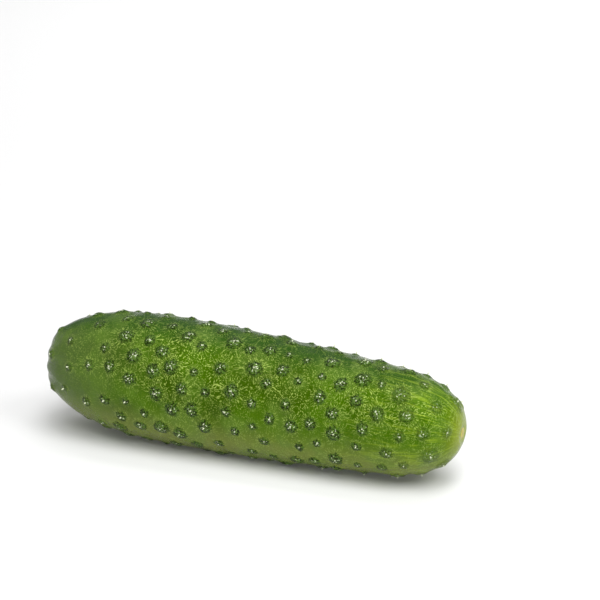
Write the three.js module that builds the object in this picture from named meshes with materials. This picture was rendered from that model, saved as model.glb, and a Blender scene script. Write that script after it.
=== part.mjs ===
// A fresh pickling cucumber lying on its side: one solid fruit with a warty skin.
//
// Millimetres, +Z up. +X runs along the fruit from its stem end to its blossom end. The origin is
// on the surface that the fruit lies on, under the middle of its outline.
//
// The fruit is a body of revolution, bent a little, with relief raised along its normals: the warts,
// the low swells of its three seed chambers, and the scars at its two ends. The skin's corners are
// placed where the relief needs them, and the triangles between them are found on a globe.
import * as THREE from "three";
import { ConvexHull } from "three/addons/math/ConvexHull.js";

const { degToRad, lerp, smoothstep } = THREE.MathUtils;

// ---------------------------------------------------------------- driving dimensions

const LENGTH = 124.4;
// Radii of the long curve of the sides, at the stem end, half way and at the blossom end.
const SIDE_RADIUS = { stem: 17.4, middle: 17.2, blossom: 13.1 };
// Each end is rounded off over this length, by a superellipse of this power.
const STEM_SHOULDER = { length: 45, power: 2.85 };
const BLOSSOM_SHOULDER = { length: 22, power: 2.6 };
// How far the middle stands to the back of the line between the ends, and below it.
const BEND = { back: 2.2, down: 0.8 };
// The thinner blossom end lies lower by this angle, which puts the fruit's weight over its flat spot.
const LEAN = degToRad(1.75);
// Swells along the fruit, over its seed chambers, and slow unevenness round it.
const CHAMBERS = { count: 3, height: 0.28, turn: 0.5 };
const UNEVEN = { height: 0.22, length: 21 };
const ROUND_ENDS = 15; // both fade out over this length at the ends, which are round
// The fruit's own weight rests on a flat spot, this deep in the round of the body.
const FLAT_SPOT_DEPTH = 0.28;

// Lengths from an end are measured along the skin.
const WART = {
  spacing: 5.3, // least distance between two
  radius: { least: 1.15, most: 2.35 }, // of the foot
  slope: { least: 0.3, most: 0.42 }, // height over foot radius
  stretch: 0.16, // how far a foot may be from round
  mound: { reach: 2.1, height: 0.32 }, // the skin swells up round each, as shares of it
  stemEnd: { bare: 11, grown: 38, roomier: 0.4, smaller: 0.75 },
  blossomEnd: { bare: 8, grown: 32, roomier: 0.15, broader: 0.2, lower: 0.5 },
};
const STEM_SCAR = { radius: 3.0, edge: 0.5, height: 0.5, hollow: 0.9 };
const BLOSSOM_SCAR = { radius: 1.5, edge: 0.6, height: 0.3, dimple: 0.5, dimpleRadius: 3.4 };

// The skin's corners: rings round each wart's crest, as shares of its radius, rings round each scar,
// by their length along the skin, and between them corners at least this far apart.
const WART_RINGS = [
  { share: 0.55, count: 6 },
  { share: 1, count: 9 },
];
const STEM_RINGS = [1.2, 2.3, 3.0, 3.8, 5.4];
const BLOSSOM_RINGS = [0.9, 1.6, 2.5, 3.6, 5.4];
const SKIN_STEP = 1.8;

const RANDOM_SEED = 7;
const DRAWS = { warts: 6000, skin: 12000 };

const SKIN = new THREE.MeshStandardMaterial({ color: 0x4f7d2a, roughness: 0.42, metalness: 0 });

// ---------------------------------------------------------------- a repeatable random draw

let randomState = RANDOM_SEED;

function random() {
  randomState = (1664525 * randomState + 1013904223) % 4294967296;
  return randomState / 4294967296;
}

// ---------------------------------------------------------------- the outline, turned round X

const HALF = LENGTH / 2;

// 0 at the tip and 1 where the shoulder has ended.
function shoulder(fromTip, { length, power }) {
  const inward = Math.min(fromTip / length, 1);
  return (1 - (1 - inward) ** power) ** (1 / power);
}

function radiusAt(x) {
  const u = x / HALF;
  const { stem, middle, blossom } = SIDE_RADIUS;
  const side = middle + ((blossom - stem) / 2) * u + ((blossom + stem) / 2 - middle) * u * u;
  return side * shoulder(HALF + x, STEM_SHOULDER) * shoulder(HALF - x, BLOSSOM_SHOULDER);
}

// Stations from the stem end to the blossom end, close together at the ends. Each has the length
// along the skin from the stem end, and a latitude that grows by length over radius, so that equal
// steps in latitude and round the fruit are equal lengths everywhere.
const STATIONS = 3000;
const outline = [];
for (let i = 0; i <= STATIONS; i++) {
  const x = -HALF * Math.cos((Math.PI * i) / STATIONS);
  const radius = i % STATIONS === 0 ? 0 : radiusAt(x);
  const last = outline.at(-1);
  const step = last ? Math.hypot(x - last.x, radius - last.radius) : 0;
  outline.push({
    x,
    radius,
    along: last ? last.along + step : 0,
    latitude: last ? last.latitude + (2 * step) / (radius + last.radius) : 0,
  });
}
const SKIN_LENGTH = outline.at(-1).along;
const EQUATOR = outline[STATIONS / 2].latitude;
outline[0].latitude = -Infinity;
outline[STATIONS].latitude = Infinity;

// The station at a length along the skin, between its two neighbours in the table.
function stationAt(along) {
  let low = 0;
  let high = STATIONS;
  while (high - low > 1) {
    const middle = (low + high) >> 1;
    if (outline[middle].along > along) high = middle;
    else low = middle;
  }
  const a = outline[low];
  const b = outline[high];
  const share = (along - a.along) / (b.along - a.along);
  const step = b.along - a.along;
  return {
    x: lerp(a.x, b.x, share),
    radius: lerp(a.radius, b.radius, share),
    latitude: lerp(a.latitude, b.latitude, share) - EQUATOR,
    normal: { x: (a.radius - b.radius) / step, radius: (b.x - a.x) / step },
  };
}

// A point at a height over the smooth, unbent body.
function bodyPoint(along, turn, height = 0) {
  const { x, radius, normal } = stationAt(along);
  const out = radius + height * normal.radius;
  return new THREE.Vector3(x + height * normal.x, out * Math.cos(turn), out * Math.sin(turn));
}

// ---------------------------------------------------------------- relief

// Warts are scattered evenly, none near another. They are small and few towards the stem end, and
// low and broad towards the blossom end.
function scatterWarts() {
  const { stemEnd, blossomEnd } = WART;
  const widest = Math.max(...outline.map((station) => station.radius));
  const warts = [];
  for (let draw = 0; draw < DRAWS.warts; draw++) {
    const along = random() * SKIN_LENGTH;
    const turn = random() * 2 * Math.PI;
    const keep = random() * widest < stationAt(along).radius;
    const fromBlossom = SKIN_LENGTH - along;
    if (!keep || along < stemEnd.bare || fromBlossom < blossomEnd.bare) continue;
    const nearStem = 1 - smoothstep(along, stemEnd.bare, stemEnd.grown);
    const nearBlossom = 1 - smoothstep(fromBlossom, blossomEnd.bare, blossomEnd.grown);
    const middle = bodyPoint(along, turn);
    const room = WART.spacing * (1 + stemEnd.roomier * nearStem + blossomEnd.roomier * nearBlossom);
    if (warts.some((other) => other.middle.distanceTo(middle) < room)) continue;
    const size = random() * (1 - stemEnd.smaller * nearStem);
    const radius = lerp(WART.radius.least, WART.radius.most, size) * (1 + blossomEnd.broader * nearBlossom);
    const slope = lerp(WART.slope.least, WART.slope.most, random()) * (1 - blossomEnd.lower * nearBlossom);
    const stretch = 1 + WART.stretch * (random() - 0.5);
    warts.push({ along, turn, middle, radius, height: radius * slope, stretch });
  }
  return warts;
}

const warts = scatterWarts();

// A round dome on a low mound.
function wartHeight(wart, point) {
  const along = (point.x - wart.middle.x) / wart.stretch;
  const across = Math.hypot(point.y - wart.middle.y, point.z - wart.middle.z) * wart.stretch;
  const q = Math.hypot(along, across) / wart.radius;
  const { reach, height } = WART.mound;
  const dome = Math.max(0, 1 - q * q) ** 1.1;
  const mound = Math.max(0, 1 - (q / reach) ** 2) ** 2;
  return wart.height * lerp(dome, mound, height);
}

// A corky disc with a hollow in it, where the stem broke off.
function stemScar(along) {
  const { radius, edge, height, hollow } = STEM_SCAR;
  const disc = 1 - smoothstep(along, radius - edge, radius + edge);
  const inside = 1 - smoothstep(along, 0, radius - edge);
  return height * disc - hollow * inside;
}

// A small button in a dimple, where the flower dropped off.
function blossomScar(fromBlossom) {
  const { radius, edge, height, dimple, dimpleRadius } = BLOSSOM_SCAR;
  const button = 1 - smoothstep(fromBlossom, radius - edge, radius);
  return height * button - dimple * (1 - smoothstep(fromBlossom, 0, dimpleRadius));
}

// The height of everything that stands over the smooth body.
function reliefAt(along, turn) {
  const point = bodyPoint(along, turn);
  const fromBlossom = SKIN_LENGTH - along;
  const clearOfEnds = smoothstep(along, 0, ROUND_ENDS) * smoothstep(fromBlossom, 0, ROUND_ENDS);
  const swell = CHAMBERS.height * Math.cos(CHAMBERS.count * turn + CHAMBERS.turn);
  const uneven = UNEVEN.height * Math.sin(point.x / UNEVEN.length + 2 * turn);
  const wart = Math.max(0, ...warts.map((each) => wartHeight(each, point)));
  return (swell + uneven) * clearOfEnds + stemScar(along) + blossomScar(fromBlossom) + wart;
}

// ---------------------------------------------------------------- corners of the skin

const corners = [];

function addCorner(along, turn) {
  corners.push({ along, turn, place: bodyPoint(along, turn) });
}

function addWart({ along, turn, radius }) {
  addCorner(along, turn);
  for (const { share, count } of WART_RINGS) {
    for (let i = 0; i < count; i++) {
      const angle = turn + (2 * Math.PI * i) / count;
      const ringAlong = along + share * radius * Math.cos(angle);
      addCorner(ringAlong, turn + (share * radius * Math.sin(angle)) / stationAt(ringAlong).radius);
    }
  }
}

// The tip at an end, and rings round it, each at a length inward from it along the skin.
function addEnd(tip, inward, rings) {
  addCorner(tip, 0);
  rings.forEach((distance, i) => {
    const count = 6 + 4 * i;
    for (let j = 0; j < count; j++) addCorner(tip + inward * distance, (2 * Math.PI * (j + i / 2)) / count);
  });
}

addEnd(0, 1, STEM_RINGS);
addEnd(SKIN_LENGTH, -1, BLOSSOM_RINGS);
warts.forEach(addWart);
for (let draw = 0; draw < DRAWS.skin; draw++) {
  const along = random() * SKIN_LENGTH;
  const turn = random() * 2 * Math.PI;
  const place = bodyPoint(along, turn);
  if (corners.every((corner) => corner.place.distanceTo(place) > SKIN_STEP)) addCorner(along, turn);
}

// ---------------------------------------------------------------- the skin

const ACROSS = new THREE.Vector3(0, 1, 0);

// A point of the straight body, once the body is bent and lies on its side.
function lay(point) {
  const share = 1 - Math.min(1, (point.x / HALF) ** 2);
  point.add(new THREE.Vector3(0, BEND.back * share, -BEND.down * share));
  return point.applyAxisAngle(ACROSS, LEAN);
}

// The corners go on a globe at the same turn and at their latitude, which keeps small shapes true.
// The globe's convex hull then joins each corner to its nearest neighbours, with no long slivers.
function onGlobe(along, turn) {
  const { latitude } = stationAt(along);
  const ring = 1 / Math.cosh(latitude);
  return new THREE.Vector3(Math.tanh(latitude), ring * Math.cos(turn), ring * Math.sin(turn));
}

function skinGeometry() {
  const skinPoint = new Map(
    corners.map(({ along, turn }) => [
      onGlobe(along, turn),
      lay(bodyPoint(along, turn, reliefAt(along, turn))),
    ]),
  );
  const lowest = Math.min(...corners.map(({ along, turn }) => lay(bodyPoint(along, turn)).z));
  const floor = lowest + FLAT_SPOT_DEPTH;
  const positions = [];
  for (const face of new ConvexHull().setFromPoints([...skinPoint.keys()]).faces) {
    for (let i = 0, edge = face.edge; i < 3; i++, edge = edge.next) {
      const { x, y, z } = skinPoint.get(edge.head().point);
      positions.push(x, y, Math.max(z - floor, 0));
    }
  }
  const geometry = new THREE.BufferGeometry();
  geometry.setAttribute("position", new THREE.Float32BufferAttribute(positions, 3));
  geometry.computeBoundingBox();
  const middle = geometry.boundingBox.getCenter(new THREE.Vector3());
  geometry.translate(-middle.x, -middle.y, 0);
  geometry.computeVertexNormals();
  return geometry;
}

const cucumber = new THREE.Mesh(skinGeometry(), SKIN);
cucumber.name = "cucumber";

const part = new THREE.Group();
part.add(cucumber);

export default part;
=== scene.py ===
# %% [markdown]
# # A fresh pickling cucumber
#
# This lesson dresses one whole cucumber that lies on a pale floor. The frame that it starts from
# holds the fruit as a plain faceted solid. Here the fruit gets a fine skin with soft round warts,
# the stubs of its spines, the scars at its two ends, and the colours of a fresh waxy rind.

# %% Load the frame
import math

import bpy
import numpy as np
from mathutils import Matrix, Vector, noise


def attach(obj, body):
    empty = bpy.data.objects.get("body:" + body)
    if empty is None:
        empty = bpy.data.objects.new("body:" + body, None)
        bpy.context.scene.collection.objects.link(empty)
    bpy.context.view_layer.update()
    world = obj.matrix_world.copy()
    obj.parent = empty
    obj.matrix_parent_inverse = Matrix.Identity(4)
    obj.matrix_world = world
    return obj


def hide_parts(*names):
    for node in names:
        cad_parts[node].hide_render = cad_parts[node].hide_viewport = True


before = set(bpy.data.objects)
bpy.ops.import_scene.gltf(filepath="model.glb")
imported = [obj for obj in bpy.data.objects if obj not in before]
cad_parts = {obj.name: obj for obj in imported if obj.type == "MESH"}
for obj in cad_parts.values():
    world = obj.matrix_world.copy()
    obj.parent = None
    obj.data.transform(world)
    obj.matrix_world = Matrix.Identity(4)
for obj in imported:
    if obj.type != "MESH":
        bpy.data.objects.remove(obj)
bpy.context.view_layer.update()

print("nodes in the frame:", sorted(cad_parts))

# %% [markdown]
# ## The outline of the fruit
#
# A short cucumber is almost a body turned on a lathe: long sides that swell a little, and two blunt
# ends. It could be a curve drawn by hand and spun round, but one formula for the radius is shorter
# and has no bumps. A quadratic curve makes the sides, and a superellipse rounds off each end, which
# keeps the shoulders full, as on the real fruit. Stations along the skin are then worked out, so
# that a length on the skin can be turned into a place, a radius and a normal.

# %% The outline
MM = 0.001  # one millimetre in metres; the lengths below are in millimetres

LENGTH = 124.4
HALF = LENGTH / 2
SIDE_RADIUS = {"stem": 17.4, "middle": 17.2, "blossom": 13.1}  # of the long curve
STEM_SHOULDER = {"length": 45, "power": 2.85}
BLOSSOM_SHOULDER = {"length": 22, "power": 2.6}
STATIONS = 3000


def shoulder(from_tip, length, power):
    """0 at the tip, and 1 where the shoulder has ended."""
    inward = np.minimum(from_tip / length, 1)
    return (1 - (1 - inward) ** power) ** (1 / power)


def radius_at(x):
    """The radius of the body at a place on its long axis, with 0 in the middle."""
    u = x / HALF
    stem, middle, blossom = SIDE_RADIUS.values()
    side = middle + (blossom - stem) / 2 * u + ((blossom + stem) / 2 - middle) * u * u
    return side * shoulder(HALF + x, **STEM_SHOULDER) * shoulder(HALF - x, **BLOSSOM_SHOULDER)


# stations crowd together at the tips, where the outline turns fastest
station_x = -HALF * np.cos(np.pi * np.arange(STATIONS + 1) / STATIONS)
station_x[[0, -1]] = -HALF, HALF
station_radius = radius_at(station_x)
station_step = np.hypot(np.diff(station_x), np.diff(station_radius))
station_along = np.concatenate([[0], np.cumsum(station_step)])
SKIN_LENGTH = station_along[-1]
print(f"the skin runs {SKIN_LENGTH:.1f} mm, and is {2 * station_radius.max():.1f} mm thick")

# %% A point over the smooth body


def body_point(along, turn, height=0.0):
    """Points at a length along the skin, a turn round it and a height over it, in mm."""
    index = np.clip(np.searchsorted(station_along, along, side="right") - 1, 0, STATIONS - 1)
    share = (along - station_along[index]) / station_step[index]
    across = np.diff(station_radius)[index]
    forward = np.diff(station_x)[index]
    x = station_x[index] + share * forward - height * across / station_step[index]
    out = station_radius[index] + share * across + height * forward / station_step[index]
    return np.stack([x, out * np.cos(turn), out * np.sin(turn)], axis=-1)


def smoothstep(value, start, end):
    """0 at the start and 1 at the end, with a soft curve between them."""
    t = np.clip((value - start) / (end - start), 0, 1)
    return t * t * (3 - 2 * t)


middle_top = body_point(SKIN_LENGTH / 2, math.pi / 2)
print("top of the body, half way along, mm:", np.round(middle_top, 1))

# %% [markdown]
# ## Where the warts stand
#
# Warts grow spread out, no two close together, in no pattern. They could be placed one by one, but
# throwing places at random and keeping only those with room round them gives just what grows. Near
# the stem the warts are fewer and smaller, and near the blossom they are broad and low. The draws
# come from a small number rule of our own, the one that the solid was made with, so each fine wart
# lands on a wart of the solid. Wart by wart, the size, the slope of the sides and the stretch along
# the fruit are drawn too, so no two are the same.

# %% The rules of the warts
WART_SPACING = 5.3
WART_RADIUS = {"least": 1.15, "most": 2.35}
WART_SLOPE = {"least": 0.3, "most": 0.42}  # height for each mm of radius
WART_STRETCH = 0.16
WART_DRAWS = 6000
WART_SEED = 7
DRAW_STEP = {"times": 1664525, "plus": 1013904223, "wraps_at": 4294967296}
STEM_END = {"bare": 11, "grown": 38, "roomier": 0.4, "smaller": 0.75}
BLOSSOM_END = {"bare": 8, "grown": 32, "roomier": 0.15, "broader": 0.2, "lower": 0.5}

random_state = WART_SEED


def random():
    """The next number from 0 to 1, the same ones on every run."""
    global random_state
    random_state = (DRAW_STEP["times"] * random_state + DRAW_STEP["plus"]) % DRAW_STEP["wraps_at"]
    return random_state / DRAW_STEP["wraps_at"]


print(f"up to {WART_DRAWS} places to try, at least {WART_SPACING} mm apart")

# %% Scatter the warts


def scatter_warts():
    """Draws places on the skin and keeps those with room, with the size of a wart for each."""
    warts = []
    middles = np.empty((0, 3))
    for _ in range(WART_DRAWS):
        along = random() * SKIN_LENGTH
        turn = random() * math.tau
        middle = body_point(along, turn)
        keep = random() * station_radius.max() < math.hypot(middle[1], middle[2])
        from_blossom = SKIN_LENGTH - along
        if not keep or along < STEM_END["bare"] or from_blossom < BLOSSOM_END["bare"]:
            continue
        near_stem = 1 - smoothstep(along, STEM_END["bare"], STEM_END["grown"])
        near_blossom = 1 - smoothstep(from_blossom, BLOSSOM_END["bare"], BLOSSOM_END["grown"])
        roomier = STEM_END["roomier"] * near_stem + BLOSSOM_END["roomier"] * near_blossom
        if np.any(np.linalg.norm(middles - middle, axis=1) < WART_SPACING * (1 + roomier)):
            continue
        size = random() * (1 - STEM_END["smaller"] * near_stem)
        radius = WART_RADIUS["least"] + size * (WART_RADIUS["most"] - WART_RADIUS["least"])
        radius *= 1 + BLOSSOM_END["broader"] * near_blossom
        slope = WART_SLOPE["least"] + random() * (WART_SLOPE["most"] - WART_SLOPE["least"])
        slope *= 1 - BLOSSOM_END["lower"] * near_blossom
        stretch = 1 + WART_STRETCH * (random() - 0.5)
        warts.append({"along": along, "turn": turn, "middle": middle, "radius": radius,
                      "height": radius * slope, "stretch": stretch})
        middles = np.vstack([middles, middle])
    return warts


warts = scatter_warts()
wart_radii = [wart["radius"] for wart in warts]
print(f"{len(warts)} warts, {min(wart_radii):.2f} to {max(wart_radii):.2f} mm in radius")

# %% [markdown]
# ## The skin
#
# The skin of the fruit has no seam, so it is one closed mesh: rings of corners along the fruit, with
# a single corner at each tip. A subdivided solid with a displacement map would do as well, but a
# grid is easy to read and to colour, and with a corner every 0.4 mm it is fine enough for round
# warts. Each corner is lifted off the smooth body by a height, which is a sum of plain parts: the
# warts with the gentle mound that each one stands on, the swells over the three seed chambers,
# small puckers of the rind, ribs near the stem, and the scars at the ends.

# %% Corners of the skin
RINGS = 392
COLUMNS = 250

ring_along = SKIN_LENGTH * np.arange(1, RINGS + 1) / (RINGS + 1)
along, turn = np.meshgrid(ring_along, math.tau * np.arange(COLUMNS) / COLUMNS, indexing="ij")
along = np.concatenate([[0], along.ravel(), [SKIN_LENGTH]])
turn = np.concatenate([[0], turn.ravel(), [0]])
from_blossom = SKIN_LENGTH - along
smooth_place = body_point(along, turn)
print(f"{len(along)} corners, {SKIN_LENGTH / RINGS:.2f} mm apart along the fruit")

# %% The height of the warts
MOUND = {"reach": 2.1, "height": 0.32}  # shares of the wart's radius and of its height
DOME_POWER = 1.1
FAR_FROM_WARTS = 9.0
NOT_ZERO = 1e-6

wart_height = np.zeros(len(along))
wart_dome = np.zeros(len(along))
wart_distance = np.full(len(along), FAR_FROM_WARTS)  # in radii of the nearest wart
wart_direction = np.zeros((len(along), 3))
for wart in warts:
    offset = smooth_place - wart["middle"]
    forward = offset[:, 0] / wart["stretch"]
    across = np.hypot(offset[:, 1], offset[:, 2]) * wart["stretch"]
    distance = np.hypot(forward, across) / wart["radius"]
    dome = np.clip(1 - distance ** 2, 0, 1)
    mound = np.clip(1 - (distance / MOUND["reach"]) ** 2, 0, 1)
    lift = (1 - MOUND["height"]) * dome ** DOME_POWER + MOUND["height"] * mound ** 2
    wart_height = np.maximum(wart_height, wart["height"] * lift)
    wart_dome = np.maximum(wart_dome, dome)
    nearer = distance < wart_distance
    wart_distance[nearer] = distance[nearer]
    reach = np.maximum(NOT_ZERO, wart["radius"] * distance[nearer, None])
    wart_direction[nearer] = offset[nearer] / reach
print(f"tallest wart {wart_height.max():.2f} mm; warts cover {np.mean(wart_dome > 0):.0%} of the skin")

# %% Knobbly tops and a puckered rind
KNOBBLE = {"size": 0.8, "height": 0.2, "steepness": 2.5}
PUCKER = {"size": 3.2, "height": 0.16}


def lumps(size):
    """Soft lumps of a size in mm, from about -0.5 to 0.5, at each corner."""
    return np.array([noise.noise(Vector(place / size)) for place in smooth_place])


on_wart = np.clip(KNOBBLE["steepness"] * wart_dome, 0, 1)
wart_height += KNOBBLE["height"] * lumps(KNOBBLE["size"]) * on_wart
pucker = PUCKER["height"] * lumps(PUCKER["size"])
print(f"the rind puckers by {pucker.max() - pucker.min():.2f} mm")

# %% Swells, ribs and scars
CHAMBERS = {"count": 3, "height": 0.28, "turn": 0.5}
UNEVEN = {"height": 0.22, "length": 21}
ROUND_ENDS = 15
STEM_SCAR = {"radius": 3.0, "edge": 0.5, "height": 0.5, "hollow": 0.9}
BLOSSOM_SCAR = {"radius": 1.5, "edge": 0.6, "height": 0.3, "dimple": 0.5, "dimple_radius": 3.4}
STEM_RIBS = {"count": 10, "height": 0.16, "sway": 0.8, "starts": 3, "full": 8, "ends": 24}

clear_of_ends = smoothstep(along, 0, ROUND_ENDS) * smoothstep(from_blossom, 0, ROUND_ENDS)
swell = CHAMBERS["height"] * np.cos(CHAMBERS["count"] * turn + CHAMBERS["turn"])
uneven = UNEVEN["height"] * np.sin(smooth_place[:, 0] / UNEVEN["length"] + 2 * turn)

stem_inner = STEM_SCAR["radius"] - STEM_SCAR["edge"]
stem_disc = 1 - smoothstep(along, stem_inner, STEM_SCAR["radius"] + STEM_SCAR["edge"])
stem_hollow = 1 - smoothstep(along, 0, stem_inner)
blossom_inner = BLOSSOM_SCAR["radius"] - BLOSSOM_SCAR["edge"]
blossom_button = 1 - smoothstep(from_blossom, blossom_inner, BLOSSOM_SCAR["radius"])
blossom_dimple = 1 - smoothstep(from_blossom, 0, BLOSSOM_SCAR["dimple_radius"])

rib_turn = STEM_RIBS["count"] * turn + STEM_RIBS["sway"] * np.sin(2 * turn)
rib_start = smoothstep(along, STEM_RIBS["starts"], STEM_RIBS["full"])
rib_end = 1 - smoothstep(along, STEM_RIBS["full"], STEM_RIBS["ends"])

relief = (swell + uneven + pucker) * clear_of_ends + wart_height
relief += STEM_RIBS["height"] * np.cos(rib_turn) * rib_start * rib_end
relief += STEM_SCAR["height"] * stem_disc - STEM_SCAR["hollow"] * stem_hollow
relief += BLOSSOM_SCAR["height"] * blossom_button - BLOSSOM_SCAR["dimple"] * blossom_dimple
print(f"relief from {relief.min():.2f} to {relief.max():.2f} mm")

# %% [markdown]
# ## How the fruit lies
#
# A cucumber that grew on the ground bends a little, and when it is put down it turns until its
# heavier part is over the place that it stands on. Here the body bends to the back and downward,
# most in the middle, and leans towards its thinner end. Bones or a lattice could bend it, but a
# short rule for each corner is exact, and the spines can use it as well. Its own weight presses a
# small flat spot, so whatever would sink below the floor is lifted to it.

# %% Bend it, lean it and set it down
BEND = {"back": 2.2, "down": 0.8}
LEAN = math.radians(1.75)
FLAT_SPOT_DEPTH = 0.28
FLAT = [1, 1, 0]  # along and across, but not up


def lay(points):
    """Bends points of the straight body and leans them as the fruit lies."""
    share = 1 - np.minimum(1, (points[:, 0] / HALF) ** 2)
    bent = points + np.outer(share, [0, BEND["back"], -BEND["down"]])
    return bent @ np.array(Matrix.Rotation(LEAN, 3, "Y")).T


floor_height = lay(smooth_place)[:, 2].min() + FLAT_SPOT_DEPTH
skin_place = lay(body_point(along, turn, relief))
skin_place[:, 2] = np.maximum(skin_place[:, 2] - floor_height, 0)
middle_of_box = (skin_place.max(0) + skin_place.min(0)) / 2 * FLAT
skin_place -= middle_of_box
print("box of the skin, mm:", np.round(skin_place.max(0) - skin_place.min(0), 1))

# %% The skin mesh


def ring_faces(rings, columns):
    """Triangles at the first tip, quads between the rings, triangles at the last tip."""
    here = range(columns)
    after = [(column + 1) % columns for column in here]
    last = 1 + rings * columns
    faces = [(0, 1 + b, 1 + a) for a, b in zip(here, after)]
    for ring in range(rings - 1):
        low = 1 + ring * columns
        high = low + columns
        faces += [(low + a, low + b, high + b, high + a) for a, b in zip(here, after)]
    top = last - columns
    return faces + [(last, top + a, top + b) for a, b in zip(here, after)]


def mesh_piece(name, points, faces):
    """A smooth-shaded object made from corners in mm and faces."""
    mesh = bpy.data.meshes.new(name)
    mesh.from_pydata((np.asarray(points) * MM).tolist(), [], faces)
    mesh.shade_smooth()
    mesh.validate()
    piece = bpy.data.objects.new(name, mesh)
    bpy.context.scene.collection.objects.link(piece)
    return piece


skin = mesh_piece("skin", skin_place, ring_faces(RINGS, COLUMNS))
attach(skin, "root")
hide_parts("cucumber")
print(f"the skin has {len(skin.data.polygons)} faces")

# %% [markdown]
# ## Where each colour grows
#
# A cucumber's colours follow how it grew. It turns paler and yellower towards the blossom and greyer
# towards the stem. Low down it is paler olive, partly the real spot where it lay and partly painted
# light bounced up from the floor, and its top is painted darker, a painted shade.
# These could be painted by hand, but each one is a simple rule of the distance from an end, the
# height over the floor or the turn round the fruit. So each corner of the skin carries how strong
# each shade is there, and the material only has to read it.

# %% A share for each corner


def give(piece, name, values):
    """Stores one number or one vector for each corner, under a name that a material can read."""
    kind, field = ("FLOAT_VECTOR", "vector") if values.ndim == 2 else ("FLOAT", "value")
    attribute = piece.data.attributes.new(name, kind, "POINT")
    attribute.data.foreach_set(field, values.astype(np.float32).ravel())


def between(low, high, follows, start, end):
    """Turns what it follows, from start to end, softly into low to high."""
    return low + (high - low) * smoothstep(follows, start, end)


above_floor = skin_place[:, 2]
upward = np.sin(turn)
print(f"above the floor by up to {above_floor.max():.1f} mm")

# %% Shades of the ground colour
top_shade_strength = 0.9 * smoothstep(from_blossom, 4, 30)  # the painted top shade fades out towards the ripe end

# for each shade: its strength, what it follows, where it begins, where it is full, its colour
SHADES = {
    "ripening": (0.8, from_blossom, 60, 4, "#3b6000"),
    "blossom_tip": (0.7, from_blossom, 12, 1, "#8c9414"),
    "stem_end": (0.85, along, 52, 8, "#4c5e30"),
    # paler olive low down: partly the real spot where the fruit lay, partly painted floor bounce light
    "belly_and_floor_bounce": (0.85, above_floor, 17, 5, "#6e7834"),
    # painted shade: the top of the fruit is painted darker, as if shaded from above
    "painted_top_shade": (top_shade_strength, upward, 0.76, 0.98, "#1a4000"),
}
for name, (strength, follows, begins, full, _) in SHADES.items():
    share = between(0, strength, follows, begins, full)
    give(skin, name, share)
    print(f"{name}: {np.mean(share > strength / 2):.0%} of the corners")

# %% Where flecks with their painted sheen, streaks and dark warts belong
PALE_FLECK_AND_SHEEN_STRENGTH = 0.7

# the pale flecks are also a painted sheen: they gather on the upper side, fewer low down and on top
fleck_and_sheen_share = between(0.15, 1, along, 10, 52)  # few near the stem
fleck_and_sheen_share *= between(0.3, 1, above_floor, 14, 28)  # fewer on the belly
fleck_and_sheen_share *= between(1, 0.3, upward, 0.8, 0.98)  # fewer on top, under the painted top shade
give(skin, "pale_flecks_and_sheen", PALE_FLECK_AND_SHEEN_STRENGTH * fleck_and_sheen_share)
give(skin, "dark_flecks_and_shade", between(0, 0.7, above_floor, 10, 20) * fleck_and_sheen_share)
give(skin, "streaks", between(0, 0.45, from_blossom, 50, 6))
wart_darkness = between(0.35, 0.95, from_blossom, 6, 40)  # pale warts where it is ripe
wart_darkness *= between(0.5, 1, along, 10, 45)  # and rather pale ones near the stem
give(skin, "dark_warts", wart_darkness)
print(f"flecks reach {np.mean(fleck_and_sheen_share > 0.5):.0%} of the corners")

# %% Distances that the patterns need
RAY_SHIFT = 5.88  # how far the crinkles are moved near a wart, in cells of their pattern
RAYS = {"full": 1.3, "gone": 2.3}  # in radii of the wart, as is the halo
HALO = {"inside": 0.85, "rim": 1.05, "fades_from": 1, "gone": 1.9, "strength": 0.42}
STREAK = {"length": 6, "width": 0.68, "body_radius": 15}  # in mm, where the streaks are strongest

rays = RAY_SHIFT * (1 - smoothstep(wart_distance, RAYS["full"], RAYS["gone"]))
halo = smoothstep(wart_distance, HALO["inside"], HALO["rim"])
halo *= 1 - smoothstep(wart_distance, HALO["fades_from"], HALO["gone"])
round_cells = STREAK["body_radius"] / STREAK["width"]
lengthwise = [along / STREAK["length"], round_cells * np.cos(turn), round_cells * np.sin(turn)]
give(skin, "wart_dome", wart_dome)
give(skin, "wart_distance", wart_distance)
give(skin, "ray_shift", wart_direction * rays[:, None])
give(skin, "halo", HALO["strength"] * halo)
give(skin, "from_stem", along)
give(skin, "from_blossom", from_blossom)
give(skin, "lengthwise", np.stack(lengthwise, axis=-1))
print("the skin carries", len(skin.data.attributes), "attributes")

# %% [markdown]
# ## Spines
#
# Every wart of a young cucumber carries a thin pale spine. Washing and handling break the spines
# off, and leave a short stub at the top of each wart, which catches the light as a white point.
# Each stub is a little cone with its root sunk in the wart. Hair curves would be quicker to make,
# but the stubs are short, thick and blunt, so they are modelled, and as they are all alike and
# small they are one mesh.

# %% One stub
SPINE = {"radius": 0.21, "height": 0.38, "root": 0.3, "sides": 6, "shortest": 0.6, "varies": 0.8}
SPINE_WIDTHS = (1.0, 0.8, 0.45)  # at the root, half way and at the end


def spine_stub(along, turn, wart_top):
    """Corners of a stub: a ring at its root, one half way up and one at its blunt end."""
    ring = math.tau * np.arange(SPINE["sides"]) / SPINE["sides"]
    length = SPINE["height"] * (SPINE["shortest"] + SPINE["varies"] * random())
    body_radius = math.hypot(*body_point(along, turn)[1:])
    points = []
    for width, height in zip(SPINE_WIDTHS, (-SPINE["root"], length / 2, length)):
        step = SPINE["radius"] * width
        around = turn + step * np.sin(ring) / body_radius
        points.append(body_point(along + step * np.cos(ring), around, wart_top + height))
    return np.concatenate(points)


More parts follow.
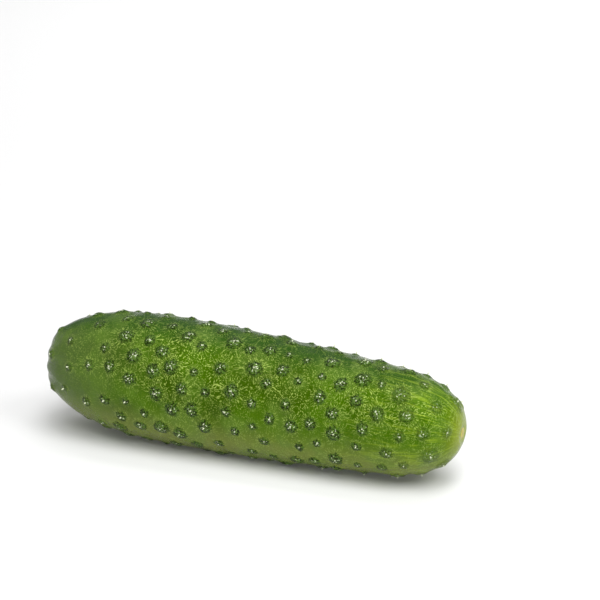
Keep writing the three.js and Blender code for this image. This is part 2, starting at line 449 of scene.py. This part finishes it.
def stub_faces(first):
    """Faces of a stub whose corners start at a number: its sides, its end and its root."""
    sides = SPINE["sides"]
    faces = []
    for low in range(first, first + (len(SPINE_WIDTHS) - 1) * sides, sides):
        for a in range(sides):
            b = (a + 1) % sides
            faces.append((low + a, low + sides + a, low + sides + b, low + b))
    end = first + (len(SPINE_WIDTHS) - 1) * sides
    faces.append(tuple(end + a for a in reversed(range(sides))))
    faces.append(tuple(first + a for a in range(sides)))
    return faces


print(f"a stub has {len(stub_faces(0))} faces")

# %% All the stubs
LEAST_CLEARANCE = 0.01  # so that no stub goes below the floor

stubs = [spine_stub(wart["along"], wart["turn"], wart["height"]) for wart in warts]
stub_place = lay(np.concatenate(stubs)) - middle_of_box
stub_place[:, 2] = np.maximum(stub_place[:, 2] - floor_height, LEAST_CLEARANCE)
faces = []
for number, stub in enumerate(stubs):
    faces += stub_faces(number * len(stub))
spines = mesh_piece("spine_stubs", stub_place, faces)
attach(spines, "root")
print(f"{len(warts)} stubs, {len(spines.data.polygons)} faces")

# %% [markdown]
# ## Two helpers for materials
#
# A material here is a small tree of nodes. Colours are written as the hex numbers that a screen
# uses, and the shader works in linear light, so one function turns the first into the second.
# Another adds any node: it sets the node's settings, sets or links its inputs, and gives back the
# output that the next node needs. The tree could be wired by hand in the editor, but written like
# this each node is one line that can be read and changed.
#
# Most of the patterns are noise through a MapRange. The noise mostly stays between 0.3 and 0.7, so
# a range across that evens it out, and a narrow range at one side of it picks out its crests.

# %% Colour and node helpers


def linear(hex_colour):
    """An sRGB hex colour as the linear colour that the shader works in."""
    parts = [int(hex_colour[i:i + 2], 16) / 255 for i in (1, 3, 5)]
    return [c / 12.92 if c <= 0.04045 else ((c + 0.055) / 1.055) ** 2.4 for c in parts] + [1]


def node(tree, kind, inputs, out=0, **settings):
    """Adds a node; inputs are a list in the node's order, or a dict by name or number."""
    made = tree.nodes.new("ShaderNode" + kind)
    for name, value in settings.items():
        setattr(made, name, value)
    for name, value in inputs.items() if isinstance(inputs, dict) else enumerate(inputs):
        if isinstance(value, bpy.types.NodeSocket):
            tree.links.new(value, made.inputs[name])
        else:
            made.inputs[name].default_value = value
    return made.outputs[out]


def new_material(name):
    """A material with its tree and its shader."""
    material = bpy.data.materials.new(name)
    material.use_nodes = True
    return material, material.node_tree, material.node_tree.nodes["Principled BSDF"]


SMOOTH = {"interpolation_type": "SMOOTHSTEP"}  # for a MapRange with soft ends
COLOUR = {"data_type": "RGBA", "out": 2}  # for a Mix of colours, whose inputs are 0, 6 and 7
print("a mid green in linear light:", [round(part, 3) for part in linear("#3e6000")])

# %% [markdown]
# ## The rind: ground colour
#
# The rind is living plant skin under a thin coat of wax, which the fruit sweats out as it grows.
# To the eye that gives a deep green with a soft gloss. The green isn't even: it drifts over a
# centimetre or two, takes the shades that each corner carries, and has a pale bloom where the wax
# is thicker. Colours painted on the corners would do for the drift too, but noise has no seam, its
# size is set in millimetres, and it stays sharp close up.

# %% Ground colour of the rind
MOTTLE_CELL = 16 * MM
BLOOM_CELL = 9 * MM

rind, tree, shader = new_material("waxy_rind")
place = node(tree, "TexCoord", {}, "Object")
drift = node(tree, "TexNoise", {"Vector": place, "Scale": 1 / MOTTLE_CELL, "Detail": 3})
drift = node(tree, "MapRange", [drift, 0.35, 0.65], **SMOOTH)
colour = node(tree, "Mix", {0: drift, 6: linear("#304a00"), 7: linear("#3e6000")}, **COLOUR)
for name, (*_, shade_colour) in SHADES.items():
    share = node(tree, "Attribute", {}, "Fac", attribute_name=name)
    colour = node(tree, "Mix", {0: share, 6: colour, 7: linear(shade_colour)}, **COLOUR)
bloom = node(tree, "TexNoise", {"Vector": place, "Scale": 1 / BLOOM_CELL, "Detail": 2})
bloom = node(tree, "MapRange", [bloom, 0.5, 0.64, 0, 0.45], **SMOOTH)
colour = node(tree, "Mix", {0: bloom, 6: colour, 7: linear("#547026")}, **COLOUR)
print("rind nodes so far:", len(tree.nodes))

# %% [markdown]
# ## The rind: flecks
#
# Close up the skin is crinkled. Its crests are painted pale, partly for dried wax and partly as
# painted highlights of the gloss on them, and its valleys are painted dark, partly the skin's own
# green and partly painted shade. The pale crests gather on the upper side, as a painted sheen.
# Round a wart the crinkles run outward, where the growing wart stretched the skin. The real crinkles
# are about 0.1 mm wide, which is too fine to show here, so they are drawn nearly four times as
# coarse. A scratch for each one would be many thousands of strokes. Noise that is read at a shifted
# place does the same: the shift is the direction from the nearest wart, so the pattern changes
# fast round the wart and slowly away from it, and the crinkles come out as rays.

# %% Crinkles and flecks
CRINKLE_CELL = 0.378 * MM
PATCH_CELL = 11 * MM

ray_shift = node(tree, "Attribute", {}, "Vector", attribute_name="ray_shift")
per_metre = [1 / CRINKLE_CELL] * 3
crinkle_place = node(tree, "VectorMath", [place, per_metre, ray_shift], operation="MULTIPLY_ADD")
crinkle_inputs = {"Vector": crinkle_place, "Scale": 1, "Detail": 1, "Roughness": 0.7}
crinkle = node(tree, "TexNoise", crinkle_inputs)
patchy = node(tree, "TexNoise", {"Vector": place, "Scale": 1 / PATCH_CELL, "Detail": 2})
patchy = node(tree, "MapRange", [patchy, 0.38, 0.62, 0.5, 1], **SMOOTH)

# for each kind of fleck: the crinkle height where it begins, where it is full, its colour
FLECKS = {"pale_flecks_and_sheen": (0.55, 0.65, "#b2c664"), "dark_flecks_and_shade": (0.45, 0.36, "#1c3a00")}
# pale crests: partly dried wax, partly painted highlights; dark valleys: partly own green, partly
# painted shade
for name, (begins, full, fleck_colour) in FLECKS.items():
    fleck = node(tree, "MapRange", [crinkle, begins, full], **SMOOTH)
    zone = node(tree, "Attribute", {}, "Fac", attribute_name=name)
    zone = node(tree, "Math", [patchy, zone], operation="MULTIPLY")
    share = node(tree, "Math", [fleck, zone], operation="MULTIPLY")
    colour = node(tree, "Mix", {0: share, 6: colour, 7: linear(fleck_colour)}, **COLOUR)
print("rind nodes so far:", len(tree.nodes))

# %% [markdown]
# ## The rind: streaks
#
# Pale lines run from the blossom end along the fruit, over the veins under its skin. A wave texture
# would space them evenly, as on no real fruit. Noise that is stretched nine times as long as it is
# wide gives lines of uneven width and length, and they fade out towards the middle of the fruit.

# %% Pale streaks towards the blossom
lengthwise = node(tree, "Attribute", {}, "Vector", attribute_name="lengthwise")
streak = node(tree, "TexNoise", {"Vector": lengthwise, "Scale": 1, "Detail": 2})
streak = node(tree, "MapRange", [streak, 0.5, 0.66], **SMOOTH)
zone = node(tree, "Attribute", {}, "Fac", attribute_name="streaks")
share = node(tree, "Math", [streak, zone], operation="MULTIPLY")
colour = node(tree, "Mix", {0: share, 6: colour, 7: linear("#8ea62a")}, **COLOUR)
print("rind nodes so far:", len(tree.nodes))

# %% [markdown]
# ## The rind: scars
#
# Where the stem was cut and where the flower fell, the fruit heals with cork: grainy and brown at
# the stem, and straw-coloured at the blossom. Each scar could be a disc of its own, but cork grows
# out of the skin with no seam. The mesh has the rim and the hollow already, so only the colour
# changes, and the hollow is painted darker, a painted shade. Both scars are the same recipe with
# other colours and sizes. Some noise is added to the distance from the tip, which makes the edge
# ragged.

# %% The two scars
CORK_CELL = 0.7 * MM
RAGGED_EDGE = 0.4  # in mm, as are the sizes of the scars

cork_grain = {"Vector": place, "Scale": 1 / CORK_CELL, "Detail": 3, "Roughness": 0.6}
cork_grain = node(tree, "TexNoise", cork_grain)
cork_tone = node(tree, "MapRange", [cork_grain, 0.35, 0.65], **SMOOTH)
ragged = node(tree, "MapRange", [cork_grain, 0.3, 0.7, -RAGGED_EDGE, RAGGED_EDGE], **SMOOTH)

# for each scar, in mm from the tip: where the cork begins and is full, and where the painted shade
# in the hollow begins and is full; then the colours of the cork's grain, dark and light, and of the
# painted shade in its hollow
SCARS = {
    "from_stem": (3.6, 2.9, 2.4, 0.8, "#4a4320", "#8d8656", "#3f4a1c"),
    "from_blossom": (1.9, 1.3, 0.7, 0.2, "#94862a", "#c2b45a", "#7c7028"),
}
HOLLOW_SHADE_STRENGTH = 0.6

for name, (edge, inside, hollow_edge, hollow_full, dark, light, deep) in SCARS.items():
    distance = node(tree, "Attribute", {}, "Fac", attribute_name=name)
    cork = node(tree, "Mix", {0: cork_tone, 6: linear(dark), 7: linear(light)}, **COLOUR)
    # painted shade: the hollow of each scar is painted darker
    hollow = node(tree, "MapRange", [distance, hollow_edge, hollow_full, 0, HOLLOW_SHADE_STRENGTH], **SMOOTH)
    cork = node(tree, "Mix", {0: hollow, 6: cork, 7: linear(deep)}, **COLOUR)
    distance = node(tree, "Math", [distance, ragged], operation="ADD")
    share = node(tree, "MapRange", [distance, edge, inside], **SMOOTH)
    colour = node(tree, "Mix", {0: share, 6: colour, 7: cork}, **COLOUR)
print("rind nodes so far:", len(tree.nodes))

# %% [markdown]
# ## The rind: warts
#
# A wart is darker than the skin round it, with a grain of black-green and grey-green: partly its
# own colour and partly painted shade on its sides. Its top is painted lighter, a painted highlight,
# and it has pale specks, partly worn spots and partly painted glints. Its foot has a ragged rim with
# a pale halo of crinkles outside.
# The rim could be cut into the mesh, but a distance with noise added costs nothing and is as sharp
# as it needs to be. The real grain is near 0.2 mm, too fine to show here, so it is drawn at more
# than twice that.

# %% The halo round each wart
halo = node(tree, "Attribute", {}, "Fac", attribute_name="halo")
crests = node(tree, "MapRange", [crinkle, 0.5, 0.62], **SMOOTH)
share = node(tree, "Math", [halo, crests], operation="MULTIPLY")
colour = node(tree, "Mix", {0: share, 6: colour, 7: linear("#9cb058")}, **COLOUR)
print("rind nodes so far:", len(tree.nodes))

# %% Where a wart is
RIM_CELL = 0.7 * MM
RAGGED_RIM = 0.2  # in radii of the wart, as are the ends of its rim
WART_RIM = {"outer": 1.15, "inner": 0.82}

rim_noise = node(tree, "TexNoise", {"Vector": place, "Scale": 1 / RIM_CELL, "Detail": 2})
rim_noise = node(tree, "MapRange", [rim_noise, 0.3, 0.7, -RAGGED_RIM, RAGGED_RIM], **SMOOTH)
wart_distance = node(tree, "Attribute", {}, "Fac", attribute_name="wart_distance")
wart_rim = node(tree, "Math", [wart_distance, rim_noise], operation="ADD")
wart_share = node(tree, "MapRange", [wart_rim, WART_RIM["outer"], WART_RIM["inner"]], **SMOOTH)
print("rind nodes so far:", len(tree.nodes))

# %% The colours of a wart
WART_GRAIN_CELL = 0.52 * MM
GLINT_SPECK_CELL = 0.5 * MM

wart_grain = {"Vector": place, "Scale": 1 / WART_GRAIN_CELL, "Detail": 2, "Roughness": 0.6}
wart_grain = node(tree, "TexNoise", wart_grain)
wart_grain = node(tree, "MapRange", [wart_grain, 0.43, 0.57], **SMOOTH)
# the dark of a wart is partly its own colour and partly painted shade on its sides
wart_colours = {0: wart_grain, 6: linear("#0a1602"), 7: linear("#426020")}
wart_colour = node(tree, "Mix", wart_colours, **COLOUR)

wart_dome = node(tree, "Attribute", {}, "Fac", attribute_name="wart_dome")
# painted highlight: the top of each wart is painted lighter
lit_wart_top = node(tree, "MapRange", [wart_dome, 0.45, 0.95, 0, 0.5], **SMOOTH)
lit_wart_top = node(tree, "Math", [lit_wart_top, wart_grain], operation="MULTIPLY")
wart_colour = node(tree, "Mix", {0: lit_wart_top, 6: wart_colour, 7: linear("#6f8a48")}, **COLOUR)

# pale specks on each wart's crown: partly worn spots, partly painted glints
speck_and_glint = node(tree, "TexNoise", {"Vector": place, "Scale": 1 / GLINT_SPECK_CELL, "Detail": 1})
speck_and_glint = node(tree, "MapRange", [speck_and_glint, 0.62, 0.68], **SMOOTH)
crown = node(tree, "MapRange", [wart_dome, 0.4, 0.8, 0, 0.9], **SMOOTH)
speck_and_glint = node(tree, "Math", [speck_and_glint, crown], operation="MULTIPLY")
wart_colour = node(tree, "Mix", {0: speck_and_glint, 6: wart_colour, 7: linear("#e6f0cc")}, **COLOUR)

darkness = node(tree, "Attribute", {}, "Fac", attribute_name="dark_warts")
share = node(tree, "Math", [wart_share, darkness], operation="MULTIPLY")
colour = node(tree, "Mix", {0: share, 6: colour, 7: wart_colour}, **COLOUR)
tree.links.new(colour, shader.inputs["Base Color"])
print("rind nodes so far:", len(tree.nodes))

# %% [markdown]
# ## The rind: gloss and bump
#
# Plant wax has an IOR of 1.4 to 1.45 and isn't metallic. On a fresh cucumber it is thin and even,
# so the skin is glossier than leather and duller than glass, with a roughness near 0.2. The wax has
# gaps, so the specular level is below the usual 0.5. Some of the light that it sends back has passed
# through green cells just under it, so the gloss is tinted green rather than white. The crinkles
# and the grain of the warts go into the bump as well as into the colour, and the warts themselves
# are in the mesh.

# %% Gloss and bump of the rind
WAX_IOR = 1.4
SPECULAR_LEVEL = 0.3
SPECULAR_TINT = (0.7, 1, 0.15, 1)
SKIN_ROUGHNESS = (0.12, 0.22)  # least and most
WART_ROUGHNESS = 0.15
SHEEN_CELL = 1.2 * MM
CRINKLE_SHARE = 0.7  # of the bump's height
BUMP_HEIGHT = 0.3 * MM

shader.inputs["IOR"].default_value = WAX_IOR
shader.inputs["Specular IOR Level"].default_value = SPECULAR_LEVEL
shader.inputs["Specular Tint"].default_value = SPECULAR_TINT
roughness = node(tree, "TexNoise", {"Vector": place, "Scale": 1 / SHEEN_CELL, "Detail": 2})
roughness = node(tree, "MapRange", [roughness, 0.3, 0.7, *SKIN_ROUGHNESS], **SMOOTH)
roughness = node(tree, "Mix", {0: wart_share, 2: roughness, 3: WART_ROUGHNESS})
tree.links.new(roughness, shader.inputs["Roughness"])

skin_bump = node(tree, "Math", [crinkle, CRINKLE_SHARE], operation="MULTIPLY")
wart_bump = {"Vector": place, "Scale": 1 / RIM_CELL, "Detail": 2, "Roughness": 0.6}
wart_bump = node(tree, "TexNoise", wart_bump)
bump_height = node(tree, "Math", [wart_bump, wart_share, skin_bump], operation="MULTIPLY_ADD")
bump = node(tree, "Bump", {"Height": bump_height, "Distance": BUMP_HEIGHT, "Strength": 1})
tree.links.new(bump, shader.inputs["Normal"])
skin.data.materials.append(rind)
print("the rind has", len(tree.nodes), "nodes")

# %% [markdown]
# ## The spine stubs' finish
#
# A broken spine is dry plant fibre, as straw is: it grew as a hair and dried out. To the eye it is a
# pale point with a dull gloss. Most plant fibre has an IOR close to 1.5, which is the shader's own,
# and a roughness near 0.5, and it isn't metallic. The fibres in a stub are too fine to show. One
# flat colour would make all the stubs the same, so soft noise gives each stub a tone of its own.

# %% Dry plant fibre
TONE_CELL = 3 * MM  # wider than a stub and narrower than the gap between two
FIBRE_ROUGHNESS = 0.45

fibre, tree, shader = new_material("dry_plant_fibre")
place = node(tree, "TexCoord", {}, "Object")
tone = node(tree, "TexNoise", {"Vector": place, "Scale": 1 / TONE_CELL, "Detail": 1})
colour = node(tree, "Mix", {0: tone, 6: linear("#c9d4a8"), 7: linear("#e8ead2")}, **COLOUR)
tree.links.new(colour, shader.inputs["Base Color"])
shader.inputs["Roughness"].default_value = FIBRE_ROUGHNESS
spines.data.materials.append(fibre)
print("the spines have", len(tree.nodes), "nodes")

# %% [markdown]
# ## The floor
#
# The fruit lies on plain matt paper, pressed from pulp without a coating. It scatters light evenly
# and hardly shines, so it is rough and its specular level is low. It is a little darker than white:
# under this much light it still comes out white, and the soft edge of the shadow stays in sight
# further out. A curved backdrop would hide its far edge from low views, but one flat sheet that runs
# far behind the fruit is all that the views from above need.

# %% Paper floor
FLOOR_REACH = 3000
PAPER = {"colour": "#e2e2e2", "roughness": 0.6, "specular": 0.2}

corners = [(x * FLOOR_REACH, y * FLOOR_REACH, 0) for x, y in ((-1, -1), (1, -1), (1, 1), (-1, 1))]
floor = mesh_piece("floor", corners, [(0, 1, 2, 3)])
paper, tree, shader = new_material("matt_paper")
shader.inputs["Base Color"].default_value = linear(PAPER["colour"])
shader.inputs["Roughness"].default_value = PAPER["roughness"]
shader.inputs["Specular IOR Level"].default_value = PAPER["specular"]
floor.data.materials.append(paper)
print("floor, mm:", 2 * FLOOR_REACH, "square")

# %% [markdown]
# ## Light
#
# Soft boxes give a wet-looking skin long soft highlights, where a bare lamp would give hard dots.
# One hangs overhead and makes the shadow, and a large one stands high in front and lights the
# side that shows. One on the right lifts the blossom end, and a small low one puts a glint on each
# wart. The last one looks straight down on the floor behind, so the floor stays white there while
# none of its light lands on the fruit. A faint light from all round stands in for the walls of the
# room. A picture of a room could do all of it, but lamps can be moved one by one.

# %% Soft boxes
AIM = (0, 0, 0.018)
WORLD_LIGHT = 0.31

# for each box: its place and side in metres, its watts, what it aims at, its spread in degrees
SOFT_BOXES = {
    "overhead": ((0.2, -0.15, 0.9), 0.4, 2.9, AIM, 180),
    "front_wall": ((0.3, -0.7, 1.02), 0.7, 8.2, AIM, 180),
    "right": ((0.6, -0.15, 0.6), 0.4, 3, AIM, 180),
    "glint": ((0.5, -0.71, 0.23), 0.1, 1.8, AIM, 180),
    "far_floor": ((0, 1.1, 1.2), 1.6, 9, (0, 1.1, 0), 80),
}
for name, (box_place, side, watts, aim, spread) in SOFT_BOXES.items():
    light = bpy.data.lights.new(name, "AREA")
    light.size = side
    light.energy = watts
    light.spread = math.radians(spread)
    lamp = bpy.data.objects.new(name, light)
    lamp.location = box_place
    lamp.rotation_mode = "QUATERNION"
    lamp.rotation_quaternion = (Vector(box_place) - Vector(aim)).to_track_quat("Z", "Y")
    bpy.context.scene.collection.objects.link(lamp)
print(len(SOFT_BOXES), "soft boxes")

# %% Light from all round
world = bpy.data.worlds.new("room")
bpy.context.scene.world = world
world.use_nodes = True
background = world.node_tree.nodes["Background"]
background.inputs["Color"].default_value = linear("#ffffff")
background.inputs["Strength"].default_value = WORLD_LIGHT
bpy.context.scene.view_settings.view_transform = "Standard"
print("light from all round:", WORLD_LIGHT)

# %% [markdown]
# ## The camera
#
# The camera looks down at the fruit from a little to the right, half a metre away, so the blossom
# end is nearer and the stem end is further off, on the left. The fruit sits low and left in a square
# frame. A shifted lens could put it there, but turning the camera by two small angles keeps the
# shift at zero, so the same camera can be moved to other views.

# %% Camera
FRAME_PIXELS = 600
SENSOR_MM = 36
PIXELS_PER_MM = 3.554
CAMERA = {"azimuth": math.radians(23.35), "elevation": math.radians(21), "distance": 520}
BODY_PIXEL = (252.9, 390.0)  # where the middle of the body falls in the frame
BODY_MIDDLE = Vector((0, 0, 18))

focal_pixels = PIXELS_PER_MM * CAMERA["distance"]
cam_data = bpy.data.cameras.new("camera")
cam_data.sensor_width = SENSOR_MM
cam_data.lens = focal_pixels * SENSOR_MM / FRAME_PIXELS
camera = bpy.data.objects.new("camera", cam_data)
bpy.context.scene.collection.objects.link(camera)
bpy.context.scene.camera = camera
a, e = CAMERA["azimuth"], CAMERA["elevation"]
back = Vector((math.sin(a) * math.cos(e), -math.cos(a) * math.cos(e), math.sin(e)))
camera.location = (BODY_MIDDLE + back * CAMERA["distance"]) * MM
right_turn = math.atan((BODY_PIXEL[0] - FRAME_PIXELS / 2) / focal_pixels)
down_turn = math.atan((BODY_PIXEL[1] - FRAME_PIXELS / 2) / focal_pixels)
aim = Matrix.Rotation(right_turn, 3, "Y") @ Matrix.Rotation(down_turn, 3, "X")
camera.rotation_mode = "QUATERNION"
camera.rotation_quaternion = back.to_track_quat("Z", "Y") @ aim.to_quaternion()
print(f"camera at {[round(part, 3) for part in camera.location]}, lens {cam_data.lens:.0f} mm")
